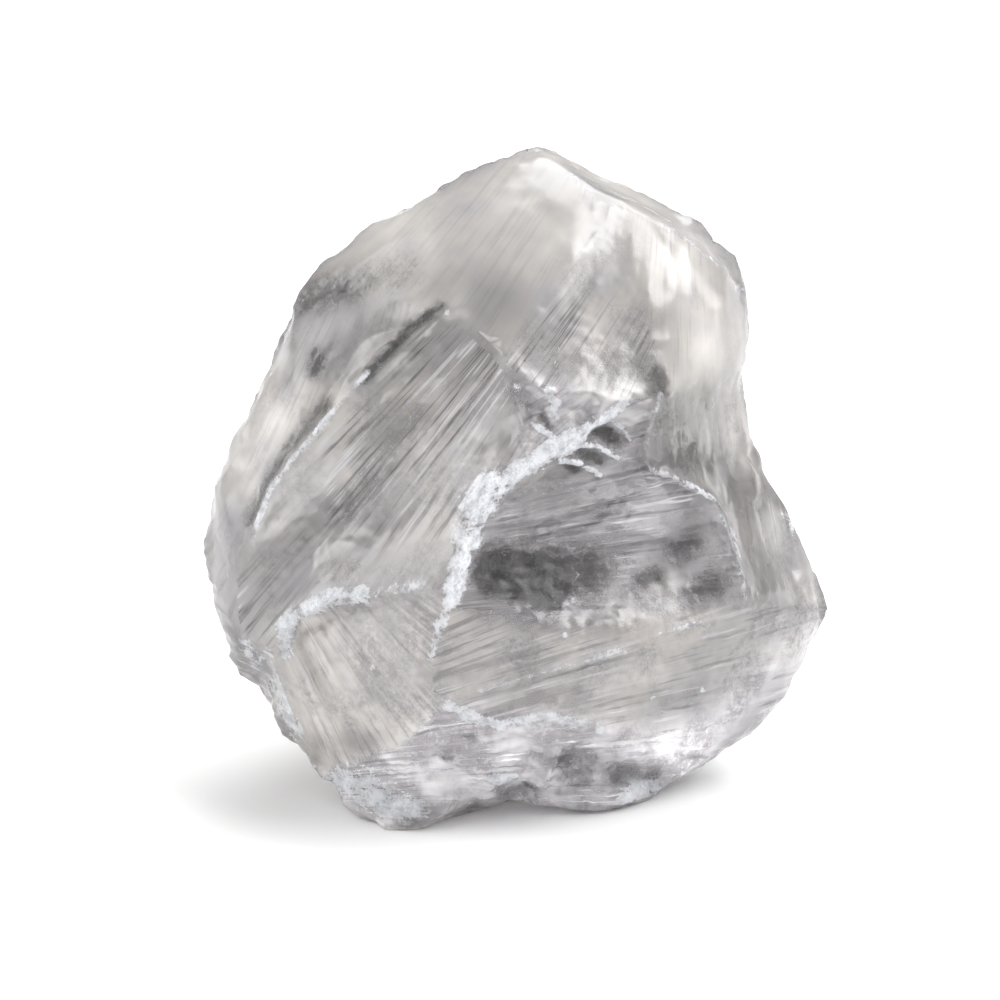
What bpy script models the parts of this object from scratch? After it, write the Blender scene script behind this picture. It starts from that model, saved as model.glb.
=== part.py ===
"""A rough zircon crystal: one broken, see-through lump that stands on a flat fracture.

The stone is a net of ridges with one fracture face spanned across each mesh of the net. A face is
a film stretched between its ridges, blown out or sucked in a little, as a conchoidal fracture is.
Hackles, ripples and crumbs are then raised on it. Lengths in this script are millimetres until the
mesh is made, and the result is in metres with +Z up and the origin under the middle of the stone.
"""

import math

import bmesh
import bpy
import numpy as np
from mathutils import Matrix, Vector, noise

# Driving dimensions, in millimetres.
LEAN_DEG = 20.0  # the front is modelled square to a pane that leans back by this much
PANE_HEIGHT = 11.2  # height of the pane's own origin over the ground
RIDGE_WANDER = 0.14  # how far a ridge strays from its line
RIDGE_CHIP = 0.5  # depth of the largest nick in a ridge
HACKLES = 5.0  # hackles in a fan, for each radian
RIPPLE_PITCH = 3.1  # from one ripple to the next
APART = Vector((0, 0, 0)), Vector((31, 0, 0)), Vector((0, 57, 0))  # where noise has nothing in common
BASE_CLEARANCE = 0.05  # least height over the ground of a point outside the base

# Longest triangle edge on a face: fine on the broken front, coarser behind and underneath.
FINE, PLAIN, COARSE, FLAT = 0.78, 0.95, 1.35, 2.4

MM = 0.001

# Ridges of the front and of the outline. Each point is (across, up, out) from the leaning pane.
PANE_RIDGES = {
    "apex": [(1.8, 14.1, 2.5)],
    "crest": [(3.4, 13.1, 2.1), (5.7, 12.35, 1.8), (7.7, 11.2, 1.7), (9.2, 9.75, 1.3), (9.8, 8.0, 1.3)],
    "flank": [(9.9, 6.8, 1.2), (9.6, 4.6, 0.6), (10.0, 2.7, -0.1), (10.6, 0.8, -0.2),
              (11.4, -0.6, -0.7), (12.5, -2.8, -1.2)],
    "horn": [(13.2, -4.3, -1.6)],
    "heel": [(12.2, -6.1, -2.4), (11.75, -7.7, -2.2), (10.6, -8.9, -2.1), (8.5, -10.5, -1.1)],
    "sole": [(6.0, -11.9, 0.25), (4.0, -12.4, 1.33)],
    "arch": [(1.6, -12.0, 1.7), (-1.0, -12.0, 1.7)],
    "toe": [(-3.1, -13.0, 3.0), (-4.6, -12.9, 3.0), (-6.5, -11.8, 1.1)],
    "jowl": [(-7.2, -10.6, -0.1), (-8.65, -9.5, -0.2), (-9.15, -7.8, 0.4), (-10.55, -7.0, -0.4)],
    "cheek": [(-11.45, -4.4, -0.5), (-11.85, -1.8, -0.1), (-11.35, 1.2, 0.4), (-10.3, 3.2, 1.2),
              (-9.1, 5.4, 1.6)],
    "temple": [(-8.3, 7.8, 2.3), (-7.7, 8.9, 2.4)],
    "crown": [(-5.1, 11.0, 2.7), (-3.05, 12.05, 2.8), (-1.2, 13.0, 2.6)],
    "brow": [(-6.0, 8.0, 4.5), (-4.0, 8.1, 5.9)],
    "spine": [(-2.2, 7.6, 6.6), (-4.8, 5.9, 6.0), (-6.8, 3.3, 5.5), (-9.1, 0.4, 4.0),
              (-10.5, -2.5, 2.3), (-10.4, -5.6, 1.4)],
    "gutter": [(-5.2, 6.3, 5.2), (-7.2, 3.7, 4.6), (-9.5, 0.7, 3.1)],
    "cap_tip": [(0.1, 5.4, 7.5)],
    "wedge": [(1.6, 7.0, 7.2), (3.7, 11.1, 5.3), (4.6, 10.7, 5.0), (5.6, 7.6, 6.0), (6.4, 4.2, 6.3)],
    "rim": [(2.4, 13.3, 3.8), (4.8, 12.0, 3.7), (7.2, 10.6, 3.3), (8.8, 9.2, 2.7), (9.5, 7.6, 2.1)],
    "break": [(0.8, 2.8, 7.8), (1.6, 4.2, 7.8), (3.6, 4.1, 7.5)],
    "ledge": [(4.9, 4.0, 7.2), (2.8, 2.7, 8.0), (1.8, 1.9, 8.1), (-0.5, 0.9, 8.4), (-1.5, -0.8, 8.4),
              (-1.9, -2.6, 8.2), (-2.5, -4.6, 7.6), (-3.2, -6.5, 6.8)],
    "step": [(3.4, 2.2, 6.8), (2.1, 1.1, 6.9), (0.3, 0.0, 7.1), (-0.7, -1.8, 7.1), (-1.4, -3.6, 7.1)],
    "lip": [(5.6, 3.8, 6.7), (6.2, 3.0, 6.2), (5.9, 1.3, 6.4), (7.3, 0.6, 5.5), (8.5, 0.0, 4.7),
            (8.9, -1.4, 4.4), (9.8, -3.6, 3.6)],
    "sill": [(0.8, -4.6, 7.5), (4.0, -4.8, 6.7), (7.2, -4.5, 5.1)],
    "fringe": [(10.3, 0.4, 0.8), (10.8, -2.0, 0.5), (11.8, -3.9, 0.0)],
    "lobe": [(-9.0, -6.4, 2.2), (-8.7, -5.0, 3.3), (-7.2, -4.1, 4.7), (-5.5, -3.7, 6.0), (-3.6, -3.6, 7.1)],
    "tread": [(-8.2, -5.3, 2.9), (-7.0, -4.7, 4.0), (-5.4, -4.3, 5.2)],
    "chin": [(-2.7, -7.6, 6.4), (-1.8, -8.2, 6.2), (-1.2, -9.1, 5.5), (-2.4, -9.8, 4.9),
             (-4.2, -10.3, 4.1), (-6.2, -10.8, 1.8)],
    "shelf": [(0.0, -8.9, 5.7), (1.8, -8.6, 5.9), (4.0, -9.1, 4.6), (6.0, -9.9, 2.6)],
    "bevel": [(9.8, -8.6, 0.1), (11.2, -6.4, 0.2)],
}

# Ridges of the back and of the foot, as upright points (across, back, height).
UPRIGHT_RIDGES = {
    "keel": [(2.2, 5.2, 21.6)],
    "left": [(-6.9, 4.0, 18.0), (-9.6, 3.6, 12.4), (-9.4, 3.4, 7.4), (-7.4, 3.2, 3.2)],
    "right": [(7.4, 4.4, 18.4), (8.6, 4.8, 14.2), (10.2, 4.0, 9.0), (9.0, 3.4, 4.0)],
    "bench": [(-6.2, 5.8, 14.6), (-2.4, 8.0, 12.8), (1.6, 8.7, 13.5), (5.8, 7.4, 12.4)],
    "under_bench": [(-2.6, 7.0, 12.0), (1.6, 7.6, 12.5)],
    "haunch": [(-3.6, 7.9, 6.4), (3.4, 8.2, 7.2)],
    "foot": [(-5.4, -1.2, 0.0), (-4.6, 3.8, 0.0), (0.6, 5.6, 0.0), (5.6, 4.0, 0.0), (7.0, 0.2, 0.0)],
    "hollow": [(0.3, -4.0, 0.0)],
}

# Pits of the crumbled foot and of the notch, as (across, up, radius, depth) on the pane.
PITS = [(-6.3, -11.2, 0.9, 0.5), (-5.1, -10.5, 0.8, 0.45), (-1.8, -11.0, 1.0, 0.5), (0.6, -11.5, 1.1, 0.7),
        (1.3, -10.4, 0.8, 0.45), (2.9, -10.5, 1.0, 0.6), (3.3, -11.4, 0.9, 0.5), (4.9, -10.9, 1.0, 0.7),
        (3.2, 3.4, 0.8, 0.4), (4.6, 2.6, 0.9, 0.5), (1.0, 3.6, 0.8, 0.4), (9.7, -7.4, 1.0, 0.4)]


class Face:
    """One fracture face: the loop of ridge points around it and what its film carries."""

    def __init__(self, loop, swell=0.0, grain=PLAIN, hackle=None, ripple=None, crumb=0.0):
        self.loop = loop  # rim1-5 stands for rim1 to rim5, and rim5-1 for the reverse
        self.swell = swell  # how far its middle stands out, or sinks if below 0
        self.grain = grain
        self.hackle = hackle  # (ridge point that the hackles fan out from, height)
        self.ripple = ripple  # (ridge point that the ripples ring, height)
        self.crumb = crumb  # height of an even roughness


FACES = {
    "cap": Face("apex crown3-1 temple2-1 brow1-2 spine1 cap_tip wedge1-2 rim1", 1.2),
    "rim_bevel": Face("apex rim1-5 flank1 crest5-1", -0.15, crumb=0.06),
    "shoulder": Face("rim1 wedge2-5 flank2-1 rim5-2", 0.7, ripple=("rim1", 0.04)),
    "right_fall": Face("wedge5 lip1-7 fringe3-1 flank3-2", -0.5, FINE, hackle=("rim4", 0.13)),
    "wedge_face": Face("wedge2-1 cap_tip break2-3 ledge1 lip1 wedge5-3", -0.25, FINE,
                       hackle=("rim2", 0.16)),
    "notch": Face("cap_tip break1 ledge3-1 break3-2", -0.5, FINE, crumb=0.22),
    "left_face": Face("cap_tip spine1-6 lobe2-5 ledge7-3 break1", -0.5, FINE,
                      hackle=("cap_tip", 0.17)),
    "spine_riser": Face("spine1-5 gutter3-1", 0.0, FINE, crumb=0.10),
    "ledge_riser": Face("ledge1-7 step5-1", 0.0, FINE, crumb=0.12),
    "scoop": Face("ledge1 step1-5 ledge7 sill1-3 lip7-1", -1.2, FINE, hackle=("step4", 0.15)),
    "left_strip": Face("temple1 cheek5-1 jowl4 spine6-5 gutter3-1 spine1 brow2-1", 0.5,
                       ripple=("spine1", 0.06)),
    "left_chip": Face("spine6 jowl4-3 lobe1-2", -0.1, FINE, crumb=0.16),
    "lobe_riser": Face("lobe1-5 tread3-1", 0.0, FINE, crumb=0.10),
    "lobe_face": Face("lobe1 jowl3-1 chin6-1 ledge8-7 lobe5 tread3-1", 0.45, FINE,
                      ripple=("jowl2", 0.10), crumb=0.05),
    "apron": Face("ledge7-8 chin1-2 shelf1-4 bevel1-2 horn fringe3 lip7 sill3-1", 0.3, FINE,
                  hackle=("chin2", 0.14)),
    "lower_right": Face("shelf4 sole1 heel4-1 horn bevel2-1", 0.3, crumb=0.10),
    "fringe_face": Face("flank3 fringe1-3 horn flank6-4", -0.2, crumb=0.16),
    "crumbled": Face("jowl1 toe3-1 arch2-1 sole2-1 shelf4-1 chin2-6", 0.3, FINE, crumb=0.34),
    "undercut": Face("toe1 hollow sole2 arch1-2", 0.1, crumb=0.10),
    "base": Face("toe2 foot1-5 sole1-2 hollow toe1", 0.0, FLAT),
    "left_under": Face("toe2-3 jowl1-4 foot1", -0.2, COARSE, crumb=0.15),
    "left_heel": Face("foot1 jowl4 cheek1 left3-4 foot2", -0.2, COARSE, crumb=0.12),
    "left_back": Face("cheek1-3 left2-3", 0.1, COARSE, ripple=("cheek3", 0.06)),
    "left_back_top": Face("cheek3-5 left1 bench1 left2", -0.3, COARSE, hackle=("left1", 0.12)),
    "left_crown_back": Face("cheek5 temple1-2 crown1-3 apex keel left1", -0.5, COARSE,
                            ripple=("apex", 0.08)),
    "upper_back": Face("keel left1 bench1-4 right2-1", -0.5, COARSE, hackle=("keel", 0.14)),
    "bench_riser": Face("bench1-4 under_bench2-1", 0.0, PLAIN, crumb=0.12),
    "back_scoop": Face("bench1 under_bench1-2 bench4 right3 haunch2-1 left3-2", -0.7, COARSE,
                       ripple=("bench1", 0.12)),
    "low_left_back": Face("left3-4 foot2 haunch1", 0.1, COARSE, crumb=0.10),
    "low_back": Face("haunch1 foot2-4 haunch2", -0.4, COARSE, hackle=("haunch1", 0.12)),
    "low_right_back": Face("haunch2 foot4 right4-3", 0.2, COARSE, crumb=0.08),
    "right_under": Face("sole1 foot5-4 right4 heel1-4", -0.2, COARSE, crumb=0.12),
    "horn_back": Face("flank5-6 horn heel1 right4-3", -0.3, COARSE, crumb=0.12),
    "right_back": Face("flank2-5 right3 bench4 right2", -0.4, COARSE, hackle=("right2", 0.12)),
    "right_crown_back": Face("apex crest1-4 right1 keel", -0.4, COARSE, ripple=("apex", 0.08)),
    "right_shoulder_back": Face("crest4-5 flank1-2 right2-1", 0.1, COARSE, crumb=0.06),
}
FACE_LIST = list(FACES.values())


def upright_from_pane(across, up, out):
    """A point of the leaning pane as an upright (across, back, height)."""
    lean = math.radians(LEAN_DEG)
    back = up * math.sin(lean) - out * math.cos(lean)
    height = PANE_HEIGHT + up * math.cos(lean) + out * math.sin(lean)
    return (across, back, height)


def pane_from_upright(point):
    """The reverse of upright_from_pane."""
    lean = math.radians(LEAN_DEG)
    back, height = point.y, point.z - PANE_HEIGHT
    up = back * math.sin(lean) + height * math.cos(lean)
    out = height * math.sin(lean) - back * math.cos(lean)
    return (point.x, up, out)


def ridge_points():
    """Every ridge point by name. A ridge of several points numbers them from 1."""
    placed = {name: [upright_from_pane(*point) for point in ridge] for name, ridge in PANE_RIDGES.items()}
    placed.update(UPRIGHT_RIDGES)
    points = {}
    for name, ridge in placed.items():
        for number, point in enumerate(ridge, 1):
            points[f"{name}{number}" if len(ridge) > 1 else name] = Vector(point)
    return points


def loop_names(words):
    """The point names in a loop."""
    names = []
    for word in words.split():
        stem, dash, last = word.partition("-")
        if not dash:
            names.append(word)
            continue
        ridge = stem.rstrip("0123456789")
        first, last = int(stem[len(ridge):]), int(last)
        way = 1 if last >= first else -1
        names += [f"{ridge}{number}" for number in range(first, last + way, way)]
    return names


def cage_of(points):
    """The closed net, with one polygon for each face and the face's number as its material index."""
    net = bmesh.new()
    corner = {name: net.verts.new(point) for name, point in points.items()}
    for number, face in enumerate(FACE_LIST):
        net.faces.new([corner[name] for name in loop_names(face.loop)]).material_index = number
    bmesh.ops.recalc_face_normals(net, faces=net.faces)
    for edge in net.edges:
        if len(edge.link_faces) != 2:
            ends = [name for name, vert in corner.items() if vert in edge.verts]
            raise ValueError(f"the net is open between {ends}")
    return net


def faces_at(part):
    """The numbers of the faces that meet at a vertex or an edge."""
    return sorted({polygon.material_index for polygon in part.link_faces})


def grain_at(edge):
    return min(FACE_LIST[number].grain for number in faces_at(edge))


def refine(net):
    """Splits the net into even triangles, and keeps every ridge as an unbroken row of edges."""
    while True:
        bmesh.ops.triangulate(net, faces=net.faces)
        inner = [edge for edge in net.edges if len(faces_at(edge)) == 1]
        bmesh.ops.beautify_fill(net, faces=net.faces, edges=inner)
        relax(net, rounds=4)
        long_edges = [edge for edge in net.edges if edge.calc_length() > grain_at(edge)]
        if not long_edges:
            return
        bmesh.ops.subdivide_edges(net, edges=long_edges, cuts=1)


class Weave:
    """The net's points as arrays: who neighbours whom, and which points lie on a ridge."""

    def __init__(self, net):
        net.verts.index_update()
        one_way = np.array([[vert.index for vert in edge.verts] for edge in net.edges])
        self.ends = np.concatenate([one_way, one_way[:, ::-1]])
        self.counts = np.bincount(self.ends[:, 0], minlength=len(net.verts))[:, None]
        self.on_ridge = np.array([len(faces_at(vert)) > 1 for vert in net.verts])

    def neighbour_mean(self, values):
        total = np.zeros_like(values)
        np.add.at(total, self.ends[:, 0], values[self.ends[:, 1]])
        return total / self.counts


def relax(net, rounds):
    """Draws the inner points of each face tight, like a soap film. Ridge points stay."""
    weave = Weave(net)
    at = np.array([vert.co for vert in net.verts])
    for _ in range(rounds):
        at = np.where(weave.on_ridge[:, None], at, weave.neighbour_mean(at))
    for vert, point in zip(net.verts, at):
        vert.co = point
    net.normal_update()


def swell(net, rounds=400):
    """Moves each face's middle out by its swell, falling to nothing at its ridges."""
    weave = Weave(net)
    lift = np.zeros((len(net.verts), 1))
    for _ in range(rounds):
        lift = np.where(weave.on_ridge[:, None], 0.0, weave.neighbour_mean(lift) + 1.0)
    number_at = np.array([faces_at(vert)[0] for vert in net.verts])
    for number, face in enumerate(FACE_LIST):
        own = (number_at == number) & ~weave.on_ridge
        if own.any():
            lift[own] *= face.swell / lift[own].max()
    move_out(net, lift[:, 0])


def move_out(net, heights):
    """Moves each point along its normal."""
    for vert, height in zip(net.verts, heights):
        vert.co += vert.normal * float(height)
    net.normal_update()


def on_base(vert):
    return any(FACE_LIST[number] is FACES["base"] for number in faces_at(vert))


def hackle(point, origin):
    """Rays from the origin, between -1 and 1, that waver and stop as they run."""
    ray = (point - origin).normalized()
    return noise.noise(ray * HACKLES) + 0.6 * noise.noise(ray * 2.3 * HACKLES + point * 0.12)


def ripple(point, origin):
    """Rings around the origin, between -1 and 1."""
    away = (point - origin).length + 1.2 * noise.noise(point * 0.25)
    return math.sin(away * math.tau / RIPPLE_PITCH)


def relief_height(face, point, origins):
    height = face.crumb * 1.6 * noise.noise(point * 0.62)
    if face.hackle:
        start, size = face.hackle
        height += size * hackle(point, origins[start])
    if face.ripple:
        start, size = face.ripple
        height += size * ripple(point, origins[start])
    return height


def pit_depth(vert):
    """How far the pits push a point of the front back into the stone."""
    across, up, out = pane_from_upright(vert.co)
    depth = 0.0
    for pit_across, pit_up, radius, deepest in PITS:
        nearness = 1.0 - ((across - pit_across) ** 2 + (up - pit_up) ** 2) / radius**2
        if nearness > 0.0 and out > 0.0:
            depth += deepest * nearness**2
    return depth


def stray(point):
    """A direction and strength that drift slowly from place to place."""
    return Vector([2.0 * noise.noise(point * 0.55 + shift) for shift in APART])


def relief(net, origins):
    """Raises hackles, ripples and crumbs, sinks the pits, then makes the ridges wander and nicks them."""
    heights = []
    for vert in net.verts:
        faces = [FACE_LIST[number] for number in faces_at(vert)]
        raised = sum(relief_height(face, vert.co, origins) for face in faces) / len(faces)
        heights.append(raised - pit_depth(vert))
    flat = [on_base(vert) for vert in net.verts]
    ridge = [len(faces_at(vert)) > 1 for vert in net.verts]
    move_out(net, [0.0 if low else height for low, height in zip(flat, heights)])
    for vert, on_ridge, low in zip(net.verts, ridge, flat):
        if on_ridge:
            wander = stray(vert.co) * RIDGE_WANDER
            nick = max(0.0, noise.noise(vert.co * 0.9) - 0.15) * RIDGE_CHIP
            vert.co += wander if low else wander - vert.normal * nick
    net.normal_update()


def settle(net):
    """Flattens the base onto the ground and brings the middle of the stone over the origin."""
    for vert in net.verts:
        vert.co.z = 0.0 if on_base(vert) else max(vert.co.z, BASE_CLEARANCE)
    across, back = ([vert.co[axis] for vert in net.verts] for axis in (0, 1))
    middle = Vector(((min(across) + max(across)) / 2, (min(back) + max(back)) / 2, 0.0))
    bmesh.ops.translate(net, verts=net.verts, vec=-middle)


def make_object(net):
    for polygon in net.faces:
        polygon.material_index = 0
    mesh = bpy.data.meshes.new("zircon_crystal")
    net.to_mesh(mesh)
    net.free()
    mesh.transform(Matrix.Scale(MM, 4))
    mesh.materials.append(smoky_zircon())
    crystal = bpy.data.objects.new("zircon_crystal", mesh)
    bpy.context.scene.collection.objects.link(crystal)


def smoky_zircon():
    material = bpy.data.materials.new("smoky_zircon")
    material.use_nodes = True
    surface = material.node_tree.nodes["Principled BSDF"]
    surface.inputs["Base Color"].default_value = (0.52, 0.50, 0.47, 1.0)
    surface.inputs["Roughness"].default_value = 0.25
    return material


def main():
    for old in list(bpy.data.objects):
        bpy.data.objects.remove(old)
    points = ridge_points()
    net = cage_of(points)
    refine(net)
    relax(net, rounds=60)
    swell(net)
    relief(net, points)
    settle(net)
    make_object(net)


main()
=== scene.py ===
"""A rough zircon crystal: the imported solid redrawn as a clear, smoky, broken stone on a pale floor.

Lengths are millimetres until they reach Blender, which has metres. A place on the front is
(across, up) from the middle of the picture, at the size it has where the camera aims.
"""

import math

import bmesh
import bpy
import numpy as np
from mathutils import Matrix, Vector, noise


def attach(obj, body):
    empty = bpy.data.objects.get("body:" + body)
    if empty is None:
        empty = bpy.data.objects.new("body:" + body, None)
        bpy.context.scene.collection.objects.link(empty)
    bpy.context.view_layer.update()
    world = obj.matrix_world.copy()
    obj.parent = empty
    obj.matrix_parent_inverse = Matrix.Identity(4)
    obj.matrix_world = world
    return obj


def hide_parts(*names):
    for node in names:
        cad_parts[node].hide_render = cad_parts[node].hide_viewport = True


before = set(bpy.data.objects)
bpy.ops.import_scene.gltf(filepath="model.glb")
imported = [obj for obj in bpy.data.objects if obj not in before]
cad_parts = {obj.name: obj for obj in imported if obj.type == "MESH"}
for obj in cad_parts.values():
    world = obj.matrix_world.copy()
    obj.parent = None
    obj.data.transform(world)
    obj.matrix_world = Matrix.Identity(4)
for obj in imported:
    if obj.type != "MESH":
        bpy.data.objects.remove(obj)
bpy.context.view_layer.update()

MM = 0.001
TINY = 1e-9  # keeps a line of no length from dividing by 0

# The camera.
LEAN = math.radians(20.0)  # how far it looks down
AIM = Vector((-0.65, 0.05, 11.2))  # where it looks
ACROSS = Vector((1.0, 0.0, 0.0))
UP = Vector((0.0, math.sin(LEAN), math.cos(LEAN)))
OUT = Vector((0.0, -math.cos(LEAN), math.sin(LEAN)))
FRAME_WIDTH = 40.0  # what the picture takes in where the camera aims
LENS, SENSOR = 200.0, 36.0
CAMERA_AWAY = LENS / SENSOR * FRAME_WIDTH
CLIP_START, CLIP_END = 1.0, 10000.0  # the nearest and the farthest that it sees

# The smoothing of the solid's facets.
WELD = 0.002  # points of the solid's mesh that are nearer than this are one
RIDGE_ANGLE = math.radians(27.0)  # a sharper fold than this stays an edge
RIDGE_CREASE = 0.9  # how firmly such an edge is held, from 0 to 1
SMOOTHING = 2  # rounds of subdivision

# The ridges of the front as the camera sees them.
RIDGES = {
    "crown": [
        (-8.1, 8.0), (-7.5, 9.2), (-6.4, 10.2), (-5.1, 11.2), (-3.1, 12.2), (-1.2, 13.2), (1.8, 14.1),
    ],
    "peak": [(1.8, 14.1), (2.8, 13.0)],
    "cap_top": [(2.8, 13.0), (3.7, 11.2)],
    "cap_side": [(3.7, 11.2), (3.0, 10.0), (2.2, 8.4), (1.2, 7.2), (0.1, 5.4)],
    "cap_foot": [(0.1, 5.4), (-1.0, 6.4), (-2.2, 7.6)],
    "brow": [(-2.2, 7.6), (-4.0, 8.0), (-6.0, 8.3), (-8.1, 8.0)],
    "crest": [(1.8, 14.1), (3.7, 13.6), (6.4, 12.2), (7.6, 11.2), (8.9, 10.2), (9.6, 8.4)],
    "rim": [(2.8, 13.0), (4.0, 12.0), (5.6, 11.4), (7.2, 10.6), (8.6, 9.5), (9.6, 8.4)],
    "flank": [(9.6, 8.4), (9.8, 6.4), (9.7, 5.0)],
    "waist": [(9.7, 5.0), (8.0, 4.6), (6.4, 4.2)],
    "wedge": [(6.4, 4.2), (6.2, 6.4), (5.6, 8.4), (4.6, 10.4), (3.7, 11.2)],
    "hip": [(9.7, 5.0), (9.8, 3.6), (10.2, 2.4), (10.5, 1.2)],
    "fringe": [(10.5, 1.2), (11.2, 0.2), (11.6, -0.8), (12.6, -2.8), (13.2, -4.3)],
    "lip": [(6.4, 4.2), (5.9, 2.8), (5.9, 1.3), (7.2, 0.8), (8.6, 0.0), (9.4, -1.6), (9.8, -4.0)],
    "notch_top": [(0.1, 5.4), (1.6, 4.4), (3.6, 4.6), (4.9, 4.0)],
    "notch_side": [(0.1, 5.4), (0.8, 2.8), (1.8, 1.8)],
    "notch_end": [(4.9, 4.0), (6.4, 4.2)],
    "ledge_top": [(4.9, 4.0), (3.2, 3.0), (1.8, 1.8)],
    "ledge": [(1.8, 1.8), (-0.5, 0.9), (-1.5, -0.8), (-1.8, -3.6)],
    "ledge_foot": [(-1.8, -3.6), (-2.8, -6.0), (-2.7, -7.6), (-2.0, -8.2)],
    "spine": [(-2.2, 7.6), (-4.8, 6.0), (-6.8, 3.2), (-9.2, 0.4), (-10.6, -2.4), (-10.4, -5.6)],
    "cheek": [
        (-8.1, 8.0), (-9.2, 5.2), (-10.5, 3.2), (-11.4, 0.2), (-11.9, -1.8), (-11.4, -3.6), (-10.4, -5.6),
    ],
    "lobe_rim": [(-1.8, -3.6), (-5.5, -3.8), (-7.2, -4.2), (-8.6, -5.0)],
    "lobe_side": [(-8.6, -5.0), (-9.0, -6.0), (-10.4, -5.6)],
    "jowl": [(-8.6, -5.0), (-9.2, -7.2), (-9.0, -8.0), (-8.0, -9.8), (-7.0, -10.6)],
    "jaw": [(-7.0, -10.6), (-6.4, -10.8), (-4.0, -9.8), (-2.0, -8.2)],
    "chin": [(-2.0, -8.2), (0.0, -8.9), (1.8, -8.6), (4.0, -9.1), (6.0, -9.4), (8.0, -9.2), (10.0, -8.0)],
    "sill": [(-1.8, -3.6), (-1.8, -4.4), (0.8, -4.6), (4.0, -4.8), (7.2, -4.6), (9.8, -4.0)],
    "brink": [(9.8, -4.0), (13.2, -4.3)],
    "heel": [(13.2, -4.3), (11.6, -6.4), (10.0, -8.0)],
    "sole": [
        (10.0, -8.0), (8.0, -10.8), (6.2, -11.8), (4.0, -12.4), (2.2, -12.4),
        (-0.9, -12.0), (-3.7, -13.2), (-4.8, -12.8), (-6.6, -11.8), (-7.0, -10.6),
    ],
}


class Face:
    """One fracture face of the front.

    loop: its ridges in turn, with a minus where one is walked backwards
    fan: the place that its hackles, which are fine raised lines, spread from

    The rest is its finish:
    hackle: how high the hackles stand, in mm
    streaks: how strongly they show as pale and dark streaks, from 0 to 1
    grit: how grainy the face is; above 1 it crumbles
    haze: how cloudy the glass is, from 0 to 1
    tone_and_shading: how light the glass is, which paints the face's light and shade, where 1 leaves its
    colour as it is
    warmth: its colour, from 0, bluish, to 1, cream
    """

    def __init__(self, loop, fan, **finish):
        self.loop = loop
        self.fan = fan
        self.finish = finish

    def outline(self):
        """The places along the face's loop."""
        places = []
        for name in self.loop.split():
            ridge = RIDGES[name.lstrip("-")]
            places += ridge[::-1] if name.startswith("-") else ridge
        return places


FACES = {
    "cap": Face(
        "crown peak cap_top cap_side cap_foot brow",
        fan=(14.0, 30.0), hackle=0.0, streaks=0.15, grit=0.1, haze=0.75, tone_and_shading=0.54, warmth=0.9,
    ),
    "bevel": Face(
        "crest -rim -peak",
        fan=(-10.0, 18.0), hackle=0.02, streaks=0.4, grit=0.2, haze=0.5, tone_and_shading=0.80, warmth=0.9,
    ),
    "shoulder": Face(
        "rim flank waist wedge -cap_top",
        fan=(7.0, 26.0), hackle=0.02, streaks=0.3, grit=0.2, haze=0.55, tone_and_shading=0.60, warmth=1.1,
    ),
    "fall": Face(
        "-waist hip fringe -brink -lip",
        fan=(6.0, 24.0), hackle=0.03, streaks=0.5, grit=0.5, haze=0.45, tone_and_shading=0.47, warmth=0.9,
    ),
    "wedge": Face(
        "-wedge -notch_end -notch_top -cap_side",
        fan=(15.0, 24.0), hackle=0.03, streaks=0.8, grit=0.6, haze=0.45, tone_and_shading=0.88, warmth=0.6,
    ),
    "notch": Face(
        "notch_top ledge_top -notch_side",
        fan=(10.0, 9.0), hackle=0.06, streaks=0.6, grit=1.2, haze=0.4, tone_and_shading=1.0, warmth=0.1,
    ),
    "left_face": Face(
        "-cap_foot notch_side ledge lobe_rim lobe_side -spine",
        fan=(11.4, 20.5), hackle=0.035, streaks=1.0, grit=0.6, haze=0.5, tone_and_shading=0.62, warmth=0.6,
    ),
    "left_strip": Face(
        "-brow spine -cheek",
        fan=(0.0, 22.0), hackle=0.02, streaks=0.3, grit=0.4, haze=0.5, tone_and_shading=0.70, warmth=0.6,
    ),
    "scoop": Face(
        "notch_end lip -sill -ledge -ledge_top",
        fan=(-25.0, -6.0), hackle=0.07, streaks=1.0, grit=1.2, haze=0.35, tone_and_shading=0.69, warmth=0.0,
    ),
    "apron": Face(
        "sill brink heel -chin -ledge_foot",
        fan=(-25.0, -15.0), hackle=0.06, streaks=0.7, grit=0.9, haze=0.4, tone_and_shading=0.72, warmth=0.7,
    ),
    "lobe": Face(
        "ledge_foot -jaw -jowl -lobe_rim",
        fan=(-12.5, 3.0), hackle=0.05, streaks=0.5, grit=0.8, haze=0.45, tone_and_shading=0.86, warmth=0.8,
    ),
    "foot": Face(
        "chin sole jaw",
        fan=(-20.0, -12.0), hackle=0.10, streaks=0.8, grit=1.8, haze=0.42, tone_and_shading=1.9, warmth=0.1,
    ),
}
FACE_EDGE = 0.4  # hackles fade out this near to a face's edge

# The sides and the back: their finish, and where their hackles spread from, (x, z), above and
# below the back's ledge.
BACK = {"hackle": 0.06, "streaks": 0.7, "grit": 0.6, "haze": 0.35, "tone_and_shading": 0.75, "warmth": 0.5}
BACK_LEDGE = 12.8
BACK_FANS = ((3.0, 40.0), (-30.0, 9.0))
TURNED_AWAY = 0.25  # the cosine at which a surface that turns away starts to lose the front's drawing

# Ridges of the front that are only soft folds.
FOLDS = ("wedge", "waist", "cap_top", "sill", "brink")
FOLD_WIDTH = 1.2

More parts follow.
